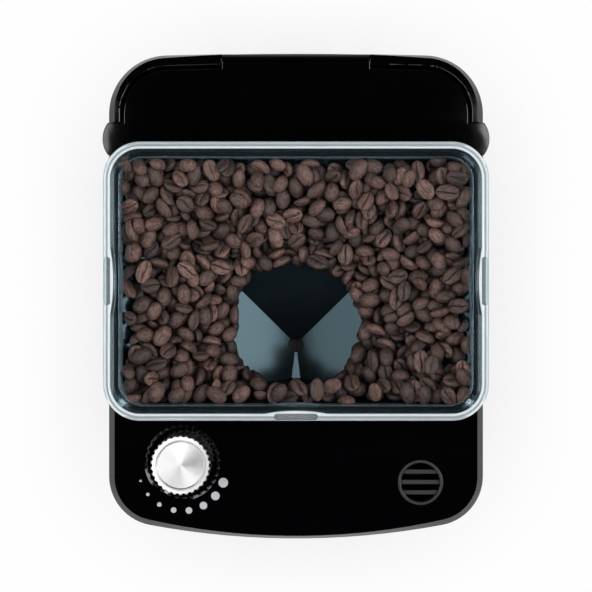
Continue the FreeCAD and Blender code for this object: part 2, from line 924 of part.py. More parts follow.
def rim_bead(inset):
    """A round bead along the top of the rim."""
    z = rim_z - bead_radius
    path = outline_at(hopper_prism(inset, z, rim_z), z)
    start = point(hopper_width / 2.0 - inset, hopper_centre_y, z)
    ring = Part.Wire(Part.makeCircle(bead_radius, start, point(0, 1, 0)))
    return path.makePipeShell([ring], True, False)


def clip_bead(reach, length):
    """The inner bead's way round a clip slot."""
    x = reach - upper_inset + bead_inset
    z = rim_z - bead_radius
    half = length / 2.0 + bulge_run
    start = point(x, -half, z)
    path = arc(start, point(x - bulge, 0, z), point(x, half, z))
    ring = Part.Wire(Part.makeCircle(bead_radius, start, path.tangentAt(path.FirstParameter)))
    return Part.Wire(path).makePipeShell([ring], True, False)


def hopper():
    skirt_low = deck_z + seal_thickness
    rim = hopper_prism(0, rim_z - rim_height, rim_z - bead_radius)
    upper = hopper_prism(rim_overhang, ledge_z - hopper_wall, rim_z - rim_height)
    lower = hopper_prism(skirt_inset, skirt_low, ledge_z - hopper_wall)
    outside = joined([rim, upper, lower, rim_bead(bead_inset), rim_bead(upper_inset - bead_inset)])
    walls = outside.cut([hopper_prism(upper_inset, ledge_z, far), hopper_prism(lower_inset, 0, ledge_z)])
    walls = walls.makeFillet(ledge_round, ledge_edges(walls))
    swells = []
    slots = []
    for reach, length, turn in clip_places():
        run = length + 2.0 * bulge_run
        upper_face = reach - upper_inset + seat_gap
        lower_face = reach - lower_inset + seat_gap
        bead_z = rim_z - bead_radius
        pad = lens(upper_face + bead_inset, run, bulge, bead_z - bead_radius, rim_z)
        swells.append(set_round(pad, turn))
        swells.append(set_round(lens(upper_face, run, bulge, ledge_z - hopper_wall, bead_z), turn))
        swells.append(set_round(lens(lower_face, run, bulge, ledge_z - 2.0 * hopper_wall, ledge_z), turn))
        swells.append(set_round(clip_bead(reach, length), turn))
        slots.append(set_round(clip_slot(reach, length), turn))
    return joined([walls] + swells).cut(slots)


def bean_funnel():
    """Funnel bonded into the foot of the hopper, with the throat that feeds the burrs."""
    inside = funnel_void(0, 0)
    layer = funnel_void(funnel_skin, hopper_wall).cut(inside)
    throat_top = feed_z + funnel_slope * throat_radius
    throat = rod(0, burr_y, throat_low, throat_top, throat_radius).cut(inside)
    bores = [rod(0, burr_y, 0, feed_z - funnel_skin, throat_bore), rod(0, burr_y, 0, far, feed_radius)]
    return joined([layer, throat]).cut(bores)


def hopper_seal():
    high = deck_z + seal_thickness
    return hopper_prism(skirt_inset, deck_z, high).cut(hopper_prism(lower_inset, deck_z, high))


# Dial and the gears that turn the burr carrier

def notches(z0, z1):
    """Round-bottomed notches all the way round the dial."""
    cuts = []
    for k in range(dial_teeth):
        angle = 2.0 * math.pi * k / dial_teeth
        x = dial_x + dial_radius * math.cos(angle)
        y = dial_y + dial_radius * math.sin(angle)
        cuts.append(rod(x, y, z0, z1, dial_notch))
    return cuts


def dial_knob():
    radius = dial_radius - dial_body_inset
    low = dial_floor + gear_lift
    shape = rod(dial_x, dial_y, low, cap_low, radius)
    shape = shape.cut(notches(low + edge_round, cap_low))
    return shape.cut(rod(dial_x, dial_y, low, cap_low, dial_shaft_radius + seat_gap))


def dial_cap():
    """Toothed cap with a bevelled edge, a raised ring and a shallow dish."""
    profile = [
        point(0, 0, cap_low),
        point(dial_radius, 0, cap_low),
        point(dial_radius, 0, dial_top - 2.0 * dial_edge),
        point(dial_radius - dial_edge, 0, dial_top - dial_edge),
        point(dial_dish_radius + dial_edge, 0, dial_top - dial_edge / 2.0),
        point(dial_dish_radius + dial_edge / 2.0, 0, dial_top),
        point(dial_dish_radius, 0, dial_top),
        point(dial_dish_radius - dial_edge, 0, dial_top - dial_dish_depth),
        point(0, 0, dial_top - dial_dish_depth + dial_crown),
    ]
    shape = Part.Face(Part.makePolygon(profile + profile[:1])).revolve(point(0, 0, 0), point(0, 0, 1), 360)
    shape.translate(point(dial_x, dial_y, 0))
    return shape.cut(notches(cap_low, dial_top))


def dial_shaft():
    return rod(dial_x, dial_y, ledge_high, cap_low, dial_shaft_radius)


def dial_gear():
    return gear(dial_gear_teeth, adjuster_module, adjuster_low, adjuster_high, dial_axis, dial_phase,
                dial_shaft_radius + seat_gap)


def idler_gear():
    return gear(idler_teeth, adjuster_module, adjuster_low, adjuster_high, idler_axis, idler_phase,
                idler_pin_radius + running_gap)


def idler_pin():
    x, y = idler_axis
    stem = rod(x, y, ledge_high, adjuster_high + gear_lift, idler_pin_radius)
    head_low = adjuster_high + gear_lift
    return stem.fuse(rod(x, y, head_low, head_low + pin_head, idler_pin_radius + pin_head))


def adjuster_plate():
    """Plate round the chamber with an arm that carries the idler and the dial shaft."""
    low = ledge_high
    high = low + plate_thickness
    ring = rod(0, burr_y, low, high, chamber_outer + 2.0 * ledge_radius_step)
    arm = block(0, dial_span, -plate_arm / 2.0, plate_arm / 2.0, low, high)
    arm.rotate(point(0, 0, 0), point(0, 0, 1), math.degrees(heading(burr_axis, dial_axis)))
    arm.translate(point(0, burr_y, 0))
    end = rod(dial_x, dial_y, low, high, plate_arm / 2.0)
    boss_top = adjuster_low - gear_lift
    bosses = [rod(x, y, low, boss_top, plate_boss_radius) for x, y in (idler_axis, dial_axis)]
    shape = joined([ring, arm, end] + bosses)
    return shape.cut([
        rod(0, burr_y, 0, far, chamber_outer + seat_gap),
        rod(idler_axis[0], idler_axis[1], 0, far, idler_pin_radius + seat_gap),
        rod(dial_x, dial_y, 0, far, dial_shaft_radius + running_gap),
    ])


# Burrs

def slanted_rod(low_radius, low, high_radius, high, angle, radius):
    """A rod leaning along a cone about the burr axis."""
    a = point(low_radius * math.cos(angle), burr_y + low_radius * math.sin(angle), low)
    lead = angle + math.pi / burr_flutes
    b = point(high_radius * math.cos(lead), burr_y + high_radius * math.sin(lead), high)
    return Part.makeCylinder(radius, (b - a).Length, a, b - a)


def burr_carrier():
    top = collar_low
    skirt = rod(0, burr_y, burr_low, top, carrier_radius)
    ring = gear(ring_teeth, adjuster_module, adjuster_low, adjuster_high, burr_axis, ring_phase,
                carrier_radius - wall)
    collar = rod(0, burr_y, top, carrier_top, throat_radius + slip_gap + collar_wall)
    shape = joined([skirt, ring, collar])
    return shape.cut([
        rod(0, burr_y, burr_low, burr_high, ring_burr_radius + seat_gap),
        rod(0, burr_y, burr_low, top - carrier_top_skin, ring_burr_radius - carrier_top_skin),
        rod(0, burr_y, burr_low, far, throat_radius + 2.0 * slip_gap),
    ])


def ring_burr():
    body = rod(0, burr_y, burr_low, burr_high, ring_burr_radius)
    hole = Part.makeCone(ring_burr_low_radius, ring_burr_high_radius, ring_burr_height,
                         point(0, burr_y, burr_low))
    flutes = [slanted_rod(ring_burr_low_radius, burr_low - flute_radius, ring_burr_high_radius,
                          burr_high + flute_radius, 2.0 * math.pi * k / burr_flutes, flute_radius)
              for k in range(burr_flutes)]
    return body.cut([hole] + flutes)


def cone_burr():
    low_radius = ring_burr_low_radius - burr_gap
    body = Part.makeCone(low_radius, cone_top_radius, cone_height, point(0, burr_y, burr_low))
    flutes = [slanted_rod(low_radius, burr_low - flute_radius, cone_top_radius, cone_top + flute_radius,
                          2.0 * math.pi * k / burr_flutes, flute_radius)
              for k in range(burr_flutes)]
    return body.cut(flutes + [rod(0, burr_y, burr_low, cone_top, shaft_radius + seat_gap)])


def burr_nut():
    sides = 6
    angles = [2.0 * math.pi * k / sides for k in range(sides)]
    points = [point(nut_radius * math.cos(a), burr_y + nut_radius * math.sin(a), cone_top) for a in angles]
    nut = polygon_prism(points, point(0, 0, nut_height))
    return nut.cut(rod(0, burr_y, cone_top, nut_top, shaft_radius + seat_gap))


def burr_shaft():
    return rod(0, burr_y, lower_bearing_z(), shaft_top, shaft_radius)


def impeller():
    hub = rod(0, burr_y, impeller_low, burr_low, impeller_hub_radius)
    reach = chamber_radius - blade_gap
    blades = []
    for k in range(impeller_blades):
        blade = block(0, reach, -blade_thickness / 2.0, blade_thickness / 2.0, impeller_low,
                      impeller_low + blade_height)
        blade.rotate(point(0, 0, 0), point(0, 0, 1), 360.0 * k / impeller_blades)
        blade.translate(point(0, burr_y, 0))
        blades.append(blade)
    return joined([hub] + blades).cut(rod(0, burr_y, 0, far, shaft_radius + seat_gap))


def lower_bearing_z():
    return drive_low - gear_lift - bearing_height


def upper_bearing_z():
    return case_top - case_skin - bearing_height + gear_lift


def shaft_bearings():
    bore = shaft_radius + running_gap
    return Part.makeCompound([tube(0, burr_y, z, z + bearing_height, bearing_radius, bore)
                              for z in (lower_bearing_z(), upper_bearing_z())])


def grind_chamber():
    body = rod(0, burr_y, chamber_low, chamber_top, chamber_outer)
    seat = rod(0, burr_y, ledge_high - ledge_height, ledge_high, chamber_outer + ledge_radius_step)
    half = outlet_width / 2.0
    spout = block(-chute_side, chute_side, case_front, burr_y - chamber_radius / 2.0, chamber_low,
                  outlet_high + outlet_wall)
    shape = joined([body, seat, spout])
    return shape.cut([
        rod(0, burr_y, chamber_low + chamber_floor, chamber_top, chamber_radius),
        rod(0, burr_y, 0, far, shaft_radius + slip_gap),
        block(-half, half, -far, burr_y, outlet_low, outlet_high),
    ])


def grounds_chute():
    half = outlet_width / 2.0
    low = bay_top - bay_wall
    body = block(-chute_side, chute_side, chute_front, case_front, low, outlet_high + outlet_wall)
    inside = block(-half, half, chute_front + outlet_wall, case_front - outlet_wall, low, outlet_high)
    mouth = block(-half, half, case_front - 2.0 * outlet_wall, case_front, outlet_low, outlet_high)
    return body.cut([inside, mouth])


# Gear case and motor

def case_block(z0, z1, inset):
    return rounded_block(case_left + inset, case_right - inset, case_front + inset, case_rear - inset, z0, z1,
                         case_corner - inset)


def case_screw_places():
    return [(x, y) for x in (case_left + case_corner, case_right - case_corner)
            for y in (case_rear - case_corner, case_front + case_corner)]


def gear_case_lower():
    shape = case_block(case_low, case_split_z, 0)
    shape = shape.cut(case_block(case_low + case_skin, case_split_z, case_wall))
    boss_top = drive_low - gear_lift
    bosses = [rod(0, burr_y, case_low, boss_top, bearing_radius + bearing_boss),
              rod(axle_axis[0], axle_axis[1], case_low, boss_top, 2.0 * axle_radius)]
    bosses += [rod(x, y, case_low, case_split_z, screw_head_radius + case_wall)
               for x, y in case_screw_places()]
    shape = joined([shape] + bosses)
    cuts = [rod(0, burr_y, lower_bearing_z(), far, bearing_radius + seat_gap),
            rod(axle_axis[0], axle_axis[1], case_low + case_skin / 2.0, far, axle_radius + seat_gap),
            rod(0, motor_y, 0, far, motor_shaft_radius + case_gap)]
    cuts += [rod(x, y, case_split_z - screw_depth, far, screw_radius + seat_gap)
             for x, y in case_screw_places()]
    return shape.cut(cuts)


def gear_case_upper():
    shape = case_block(case_split_z, case_top, 0)
    shape = shape.cut(case_block(case_split_z, case_top - case_skin, case_wall))
    boss_low = upper_bearing_z() - gear_lift
    bosses = [rod(0, burr_y, boss_low, case_top, bearing_radius + bearing_boss),
              rod(axle_axis[0], axle_axis[1], reduction_high + gear_lift, case_top, 2.0 * axle_radius)]
    bosses += [rod(x, y, case_split_z, case_top, screw_head_radius + case_wall)
               for x, y in case_screw_places()]
    shape = joined([shape] + bosses)
    cuts = [rod(0, burr_y, 0, upper_bearing_z() + bearing_height, bearing_radius + seat_gap),
            rod(0, burr_y, 0, far, shaft_radius + slip_gap),
            rod(axle_axis[0], axle_axis[1], 0, case_top - case_skin / 2.0, axle_radius + seat_gap)]
    for x, y in case_screw_places():
        cuts.append(rod(x, y, 0, far, screw_radius + seat_gap))
        cuts.append(rod(x, y, case_screw_z(), far, screw_head_radius + slip_gap))
    return shape.cut(cuts)


def case_screw_z():
    return case_split_z + screw_depth / 2.0


def case_screws():
    return Part.makeCompound([screw(x, y, case_screw_z(), True) for x, y in case_screw_places()])


def case_posts():
    y = case_rear - post_inset
    return Part.makeCompound([rod(x, y, base_top, case_low, post_radius)
                              for x in (case_left + post_inset, case_right - post_inset)])


def burr_gear():
    return gear(burr_gear_teeth, drive_module, drive_low, drive_high, burr_axis, burr_phase,
                shaft_radius + seat_gap)


def intermediate_gear():
    bore = axle_radius + running_gap
    pinion = gear(drive_pinion_teeth, drive_module, drive_low, reduction_low, axle_axis, pinion_phase, bore)
    wheel = gear(reduction_teeth, motor_module, reduction_low, reduction_high, axle_axis,
                 reduction_phase, bore)
    return joined([pinion, wheel])


def intermediate_axle():
    half_skin = case_skin / 2.0
    return rod(axle_axis[0], axle_axis[1], case_low + half_skin, case_top - half_skin, axle_radius)


def motor_pinion():
    return gear(motor_pinion_teeth, motor_module, reduction_low, reduction_high, motor_axis, motor_phase,
                motor_shaft_radius + seat_gap)


def motor_shaft():
    return rod(0, motor_y, motor_low - motor_end_height, reduction_high + gear_lift, motor_shaft_radius)


def motor_can():
    shape = rod(0, motor_y, motor_low, motor_top, motor_radius)
    shape = shape.makeFillet(edge_round, edges_at(shape, motor_top))
    inside = rod(0, motor_y, motor_low, motor_top - motor_end_skin, motor_radius - motor_skin)
    return shape.cut([inside, rod(0, motor_y, 0, far, motor_shaft_radius + running_gap)])


def motor_magnets():
    outer = motor_radius - motor_skin - seat_gap
    middle = (motor_low + motor_top) / 2.0
    ring = tube(0, motor_y, middle - magnet_height / 2.0, middle + magnet_height / 2.0, outer,
                outer - magnet_thickness)
    half = magnet_gap_width / 2.0
    return Part.makeCompound(ring.cut(block(-half, half, -far, far, 0, far)).Solids)


def motor_rotor():
    middle = (motor_low + motor_top) / 2.0
    core = rod(0, motor_y, middle - rotor_height / 2.0, middle + rotor_height / 2.0, rotor_radius)
    slots = []
    for k in range(burr_flutes):
        angle = 2.0 * math.pi * k / burr_flutes
        slots.append(rod(rotor_radius * math.cos(angle), motor_y + rotor_radius * math.sin(angle), 0, far,
                         motor_skin))
    low = middle - rotor_height / 2.0
    commutator = rod(0, motor_y, low - commutator_height, low, commutator_radius)
    return joined([core.cut(slots), commutator]).cut(rod(0, motor_y, 0, far, motor_shaft_radius + seat_gap))


def motor_end():
    cap = rod(0, motor_y, motor_low - motor_end_height, motor_low, motor_radius)
    spigot = tube(0, motor_y, motor_low, motor_low + motor_end_height / 2.0,
                  motor_radius - motor_skin - seat_gap, motor_radius - 2.0 * motor_skin)
    cap = cap.cut(rod(0, motor_y, motor_low - motor_end_height + motor_end_skin, motor_low,
                      motor_radius - 2.0 * motor_skin))
    bush = rod(0, motor_y, motor_low - motor_end_height, motor_low, 2.0 * motor_shaft_radius)
    return joined([cap, spigot, bush]).cut(rod(0, motor_y, 0, far, motor_shaft_radius + running_gap))


def motor_damper():
    return tube(0, motor_y, motor_top, case_low, damper_radius, damper_bore)


# Grounds bin

def bin_bay():
    shape = block(-bay_side, bay_side, bin_back + bay_front_gap, bay_rear_y, base_top, bay_top)
    w = bay_wall
    inside = block(-bay_side + w, bay_side - w, -far, bay_rear_y - w, base_top + w, bay_top - w)
    hatch = block(-chute_side - slip_gap, chute_side + slip_gap,
                  chute_front - slip_gap, case_front + slip_gap, bay_top - 2.0 * w, far)
    return shape.cut([inside, hatch])


def grounds_bin():
    half = bay_side - bay_wall - bin_gap
    rear = bay_rear_y - bay_wall - bin_gap
    low = base_top + bay_wall
    high = bay_top - bay_wall - bin_headroom
    outer = block(-half, half, bin_back, rear, low, high)
    rear_edges = [e for e in upright_edges(outer) if e.BoundBox.YMin > bin_back + bin_wall]
    outer = outer.makeFillet(tub_corner, rear_edges)
    w = bin_wall
    inner = rounded_block(-half + w, half - w, bin_back + w, rear - w, low + bin_floor, far, tub_corner - w)
    return outer.cut(inner)


def bin_front():
    """Front panel of the bin, bowed like the housing, with a finger pocket."""
    half = bay_side - front_gap
    shape = body_prism(0, window_low + front_gap, panel_top)
    shape = shape.common(block(-half, half, -far, bin_back, 0, far))
    outer_edges = [e for e in shape.Edges if e.BoundBox.YMax < bin_back - front_gap]
    shape = shape.makeFillet(rim_round, outer_edges)
    top = panel_top - grip_below_top
    run = grip_width / 2.0 - grip_height / 2.0
    back = front_y + grip_depth
    middle = top - grip_height / 2.0
    grip = joined([block(-run, run, -far, back, top - grip_height, top),
                   deep_rod(-run, -far, back, middle, grip_height / 2.0),
                   deep_rod(run, -far, back, middle, grip_height / 2.0)])
    return shape.cut(grip)


# Start button

def switch_front_y():
    flange_front = front_y + wall + slip_gap
    return flange_front + button_flange_thickness + button_stem + button_travel + slip_gap


def switch_low():
    return button_z - button_radius - button_flange - front_gap


def start_button():
    flange_front = front_y + wall + slip_gap
    flange_back = flange_front + button_flange_thickness
    face = deep_rod(0, front_y + button_recess, flange_back, button_z, button_radius)
    rounded = [e for e in face.Edges if e.BoundBox.YMax < front_y + wall]
    face = face.makeFillet(rim_round, rounded)
    flange = deep_rod(0, flange_front, flange_back, button_z, button_radius + button_flange)
    stem = deep_rod(0, flange_back, flange_back + button_stem, button_z, button_stem_radius)
    return joined([face, flange, stem])


def start_switch():
    half = switch_width / 2.0
    low = switch_low()
    front = switch_front_y()
    return block(-half, half, front, front + switch_length, low, low + switch_height)


# Electrics

def control_board():
    half = board_width / 2.0
    return block(-half, half, board_y, board_y + board_thickness, base_top, base_top + board_height)


def board_parts():
    """Relay, capacitor and transformer standing on the front of the board."""
    quarter = board_width / 4.0
    middle = base_top + board_height / 2.0
    half = relay_size / 2.0
    relay = block(-quarter - half, -quarter + half, board_y - relay_height, board_y,
                  middle, middle + relay_size)
    capacitor = deep_rod(0, board_y - capacitor_length, board_y, middle + capacitor_radius, capacitor_radius)
    wide = transformer_width / 2.0
    transformer = block(quarter - wide, quarter + wide, board_y - transformer_length, board_y, middle,
                        middle + transformer_height)
    return Part.makeCompound([relay, capacitor, transformer])


def power_inlet():
    rear = rear_y - inlet_set_in
    half = inlet_width / 2.0
    rise = inlet_height / 2.0
    f = inlet_flange
    body = block(inlet_x - half, inlet_x + half, rear - inlet_depth, rear, inlet_z - rise, inlet_z + rise)
    flange_rear = rear_y - inlet_flange_set
    flange = block(inlet_x - half - f, inlet_x + half + f, flange_rear - inlet_flange_thickness, flange_rear,
                   inlet_z - rise - f, inlet_z + rise + f)
    wide = inlet_recess_width / 2.0
    high = inlet_recess_height / 2.0
    recess = block(inlet_x - wide, inlet_x + wide, rear - inlet_recess_depth, far,
                   inlet_z - high, inlet_z + high)
    holes = [deep_rod(x, 0, far, inlet_z, inlet_pin_radius + seat_gap) for x in inlet_pin_places()]
    return joined([body, flange]).cut([recess] + holes)


def inlet_pin_places():
    return [inlet_x - inlet_pin_pitch / 2.0, inlet_x + inlet_pin_pitch / 2.0]


def inlet_pins():
    start = rear_y - inlet_set_in - inlet_depth
    return Part.makeCompound([deep_rod(x, start, start + inlet_pin_length, inlet_z, inlet_pin_radius)
                              for x in inlet_pin_places()])


makers = [
    base_plate, rubber_feet, base_screws, outer_shell, top_deck, deck_screws, vent_grille, scale_dots,
    rear_lid, lid_hinge_pin, rear_tub, hopper, bean_funnel, hopper_seal,
    dial_knob, dial_cap, dial_shaft, dial_gear, idler_gear, idler_pin, adjuster_plate,
    burr_carrier, ring_burr, cone_burr, burr_nut, burr_shaft, impeller, shaft_bearings, grind_chamber,
    grounds_chute, gear_case_lower, gear_case_upper, case_screws, case_posts,
    burr_gear, intermediate_gear, intermediate_axle, motor_pinion, motor_shaft, motor_can, motor_magnets,
    motor_rotor, motor_end, motor_damper, bin_bay, grounds_bin, bin_front,
    start_button, start_switch, control_board, board_parts, power_inlet, inlet_pins,
]

os.makedirs("parts", exist_ok=True)
for maker in makers:
    maker().exportStep("parts/%s.step" % maker.__name__)
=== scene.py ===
import json
import math
import random

import bpy
from mathutils import Matrix, Vector


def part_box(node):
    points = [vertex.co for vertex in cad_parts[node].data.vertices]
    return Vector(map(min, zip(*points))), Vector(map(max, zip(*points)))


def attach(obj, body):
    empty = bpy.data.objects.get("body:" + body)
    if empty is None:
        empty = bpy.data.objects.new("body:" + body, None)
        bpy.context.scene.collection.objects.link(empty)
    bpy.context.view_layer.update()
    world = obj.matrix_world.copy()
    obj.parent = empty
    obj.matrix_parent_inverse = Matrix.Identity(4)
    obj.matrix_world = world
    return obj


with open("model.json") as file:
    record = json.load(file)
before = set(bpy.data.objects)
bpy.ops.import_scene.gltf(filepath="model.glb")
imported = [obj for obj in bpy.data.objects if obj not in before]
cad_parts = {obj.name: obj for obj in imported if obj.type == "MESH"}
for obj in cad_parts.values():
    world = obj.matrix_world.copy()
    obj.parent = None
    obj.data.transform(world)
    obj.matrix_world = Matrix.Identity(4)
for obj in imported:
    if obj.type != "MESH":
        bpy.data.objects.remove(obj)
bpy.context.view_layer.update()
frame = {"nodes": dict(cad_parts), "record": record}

nodes = frame["nodes"]
scene = bpy.context.scene
scene.view_settings.view_transform = "Standard"

# Levels and places of the part, in metres
hopper_low, hopper_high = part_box("hopper")
cap_low, cap_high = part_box("dial_cap")
burr_low, burr_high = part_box("ring_burr")
deck_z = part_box("top_deck")[1].z
rim_z = hopper_high.z
ledge_depth = 0.018
feed_depth = 0.034
ledge_z = rim_z - ledge_depth
feed_z = deck_z - feed_depth
hopper_y = (hopper_low.y + hopper_high.y) / 2.0
burr_y = (burr_low.y + burr_high.y) / 2.0
dial_x = (cap_low.x + cap_high.x) / 2.0
dial_y = (cap_low.y + cap_high.y) / 2.0


# Finishes

class Value:
    """A socket of a finish. Sums and products of values add Math nodes."""

    def __init__(self, finish, socket):
        self.finish = finish
        self.socket = socket

    def math(self, operation, a, b=0.0):
        return self.finish.node("ShaderNodeMath", {"operation": operation}, {0: a, 1: b})

    def __add__(self, other):
        return self.math("ADD", self, other)

    def __sub__(self, other):
        return self.math("SUBTRACT", self, other)

    def __rsub__(self, other):
        return self.math("SUBTRACT", other, self)

    def __mul__(self, other):
        return self.math("MULTIPLY", self, other)

    def __truediv__(self, other):
        return self.math("DIVIDE", self, other)

    def __pow__(self, other):
        return self.math("POWER", self, other)

    __radd__ = __add__
    __rmul__ = __mul__

    def sine(self):
        return self.math("SINE", self)

    def size(self):
        return self.math("ABSOLUTE", self)

    def larger(self, other):
        return self.math("MAXIMUM", self, other)

    def step(self, low, high):
        """0 below low, 1 above high, smooth between."""
        settings = {"interpolation_type": "SMOOTHSTEP"}
        return self.finish.node("ShaderNodeMapRange", settings, {0: self, 1: low, 2: high})


class Finish:
    """The nodes of a material or of the world, round its first shader."""

    def __init__(self, owner, shader="Principled BSDF", place="Object"):
        owner.use_nodes = True
        self.material = owner
        self.tree = owner.node_tree
        self.shader = self.tree.nodes[shader]
        self.coordinates = self.node("ShaderNodeTexCoord", output=place)

    def node(self, kind, settings=None, inputs=None, output=0):
        node = self.tree.nodes.new(kind)
        for key, value in (settings or {}).items():
            if key == "stops":
                self.set_stops(node.color_ramp, value)
            else:
                setattr(node, key, value)
        for key, value in (inputs or {}).items():
            self.feed(node.inputs[key], value)
        return Value(self, node.outputs[output])

    def feed(self, socket, value):
        if isinstance(value, Value):
            self.tree.links.new(value.socket, socket)
        else:
            socket.default_value = value

    def set(self, inputs):
        for name, value in inputs.items():
            self.feed(self.shader.inputs[name], value)

    def set_stops(self, ramp, stops):
        while len(ramp.elements) < len(stops):
            ramp.elements.new(0.5)
        for element, (place, colour) in zip(ramp.elements, stops):
            element.position = place
            element.color = colour

    def stretched(self, x, y, z, where=None):
        inputs = {0: where or self.coordinates, 1: (x, y, z)}
        return self.node("ShaderNodeVectorMath", {"operation": "MULTIPLY"}, inputs)

    def noise(self, scale, detail=2.0, where=None):
        inputs = {"Vector": where or self.coordinates, "Scale": scale, "Detail": detail}
        return self.node("ShaderNodeTexNoise", None, inputs)

    def cells(self, scale, output="Distance"):
        inputs = {"Vector": self.coordinates, "Scale": scale}
        return self.node("ShaderNodeTexVoronoi", None, inputs, output)

    def axes(self):
        return [self.node("ShaderNodeSeparateXYZ", None, {0: self.coordinates}, k) for k in range(3)]

    def attribute(self, name, output="Fac"):
        return self.node("ShaderNodeAttribute", {"attribute_name": name}, None, output)

    def mix(self, factor, a, b):
        return self.node("ShaderNodeMix", {"data_type": "RGBA"}, {0: factor, 6: a, 7: b}, 2)

    def bump(self, height, strength, distance):
        inputs = {"Strength": strength, "Distance": distance, "Height": height}
        self.set({"Normal": self.node("ShaderNodeBump", None, inputs)})

    def seen(self, *rays):
        """1 for light paths of these kinds, 0 for the rest."""
        kinds = [self.node("ShaderNodeLightPath", None, None, ray) for ray in rays]
        return sum(kinds, 0.0).step(0.0, 1.0)

    def lay_over(self, shader, factor):
        """Shows another shader over the first one, as far as factor says."""
        first = Value(self, self.shader.outputs[0])
        both = self.node("ShaderNodeMixShader", None, {0: factor, 1: first, 2: shader})
        self.tree.links.new(both.socket, self.tree.nodes["Material Output"].inputs["Surface"])


def rgb(red, green, blue):
    return (red, green, blue, 1.0)


def new_finish(name, **constants):
    finish = Finish(bpy.data.materials.new(name))
    finish.set({key.replace("_", " "): value for key, value in constants.items()})
    return finish


def moulded(name, colour, rough, grain_scale, grain_depth, spread=0.04, tone_lift=1.25):
    """Moulded plastic: fine grain, cloudy roughness and a faint change of tone."""
    finish = new_finish(name)
    cloud = finish.noise(60.0, 3.0)
    grain = finish.noise(grain_scale, 2.0)
    light = rgb(*[c * tone_lift for c in colour])
    finish.set({
        "Base Color": finish.mix(cloud.step(0.35, 0.75), rgb(*colour), light),
        "Roughness": rough - spread / 2.0 + cloud * spread,
    })
    finish.bump(grain, 0.25, grain_depth)
    return finish.material


def gloss_black():
    """Polished black plastic with a slight ripple and faint wipe marks."""
    finish = new_finish("gloss_black", IOR=1.5)
    ripple = finish.noise(90.0, 1.0)
    wipe = finish.noise(14.0, 4.0, finish.stretched(1.0, 3.0, 1.0))
    finish.set({
        "Base Color": finish.mix(wipe, rgb(0.0006, 0.0006, 0.0010), rgb(0.0012, 0.0012, 0.0017)),
        "Roughness": 0.035 + wipe.step(0.5, 0.8) * 0.035,
    })
    finish.bump(ripple, 0.05, 0.0004)
    return finish.material


def smoke_clear():
    """Clear plastic with a smoky tint and a faint milky haze; a whiter milky layer paints highlights on the rim and
    its beads and a light line along the ledge, and a painted cloudy sheen band with dust flecks lies on the lower
    inside wall.
    """
    finish = new_finish("smoke_clear", IOR=1.49, Transmission_Weight=1.0)
    finish.set({"Specular Tint": rgb(0.66, 0.90, 1.0)})
    haze = finish.noise(30.0, 3.0)
    finish.set({
        "Base Color": finish.mix(haze, rgb(0.54, 0.67, 0.72), rgb(0.60, 0.72, 0.77)),
        "Roughness": 0.03 + haze.step(0.5, 0.9) * 0.03,
    })
    x, y, z = finish.axes()
    beside = (x.size() - hopper_high.x).larger((y - hopper_y).size() - (hopper_high.y - hopper_y))

    def near(level, far, close):
        """0 where a point lies further than far below a level, 1 from close below it upwards."""
        return z.step(level - far, level - close)

    def inside(shallow, deep):
        """0 up to shallow inside the hopper's outline, 1 from deep inside it."""
        return beside.step(-shallow, -deep)

    # Painted highlights: the milky layer turns whiter over the rim's top, its beads and the inner bead, and draws a
    # painted light line along the ledge, where the clear plastic would catch the light.
    slot = near(rim_z, 0.0023, 0.0021)
    rim = near(rim_z, 0.0013, 0.0009)
    bead = near(rim_z, 0.0007, 0.0003)
    inner_bead = inside(0.0022, 0.0024) * bead
    ledge = near(ledge_z, 0.0008, 0.0005) * (1.0 - near(ledge_z, 0.0003, 0.0001))
    below_ledge = near(deck_z, 0.012, 0.010) * (1.0 - near(ledge_z, 0.0012, 0.0006))
    # Painted sheen: a milky band on the lower inside wall, below the ledge, where the clear wall would shine at a
    # grazing angle.
    painted_sheen_band = inside(0.0060, 0.0064) * below_ledge
    streak = finish.noise(140.0, 2.0)
    dust = finish.noise(800.0, 3.0).step(0.3, 0.6)
    cloudy = finish.mix(streak, rgb(0.44, 0.60, 0.70), rgb(0.52, 0.68, 0.77))
    milky_haze_and_painted_light = finish.node("ShaderNodeBsdfPrincipled", None, {
        "Base Color": finish.mix(slot, cloudy, rgb(0.80, 0.88, 0.92)),
        "Roughness": 0.18 + streak * 0.1,
    })
    # Share of milky layer on the painted sheen band, broken up by dust flecks.
    tone_lift = painted_sheen_band * (0.31 + dust * 0.09)
    # A faint milky haze everywhere, plus the painted highlights, the painted light line and the painted sheen band.
    shown = 0.02 + slot * 0.22 + rim * 0.14 + bead * 0.2 + inner_bead * 0.3 + ledge * 0.2 + tone_lift
    finish.lay_over(milky_haze_and_painted_light, shown)
    return finish.material


def funnel_black():
    """Black polycarbonate of the funnel, satin from the beans that slide over it, with a blue cast."""
    finish = new_finish("funnel_black", IOR=1.585)
    finish.set({"Specular Tint": rgb(0.55, 0.86, 1.0)})
    wear = finish.noise(40.0, 4.0)
    scuff = finish.noise(600.0, 3.0)
    finish.set({
        "Base Color": finish.mix(wear, rgb(0.003, 0.005, 0.007), rgb(0.006, 0.009, 0.011)),
        "Roughness": 0.14 + wear * 0.05 + scuff * 0.03,
    })
    finish.bump(scuff, 0.04, 0.0001)
    return finish.material


def satin_silver():
    """Silver cap, turned on a lathe: fine rings about the dial's axis."""
    finish = new_finish("satin_silver", Metallic=1.0, Anisotropic=0.6)
    x, y, z = finish.axes()
    radius = ((x - dial_x) ** 2.0 + (y - dial_y) ** 2.0) ** 0.5
    rings = finish.node("ShaderNodeCombineXYZ", None, {0: radius})
    turned = finish.noise(9000.0, 3.0, rings)
    blotch = finish.noise(160.0, 2.0)
    finish.set({
        "Base Color": finish.mix(turned, rgb(0.68, 0.68, 0.68), rgb(0.76, 0.76, 0.76)),
        "Roughness": 0.33 + turned * 0.1 + blotch * 0.06,
    })
    finish.bump(turned, 0.12, 0.00008)
    return finish.material


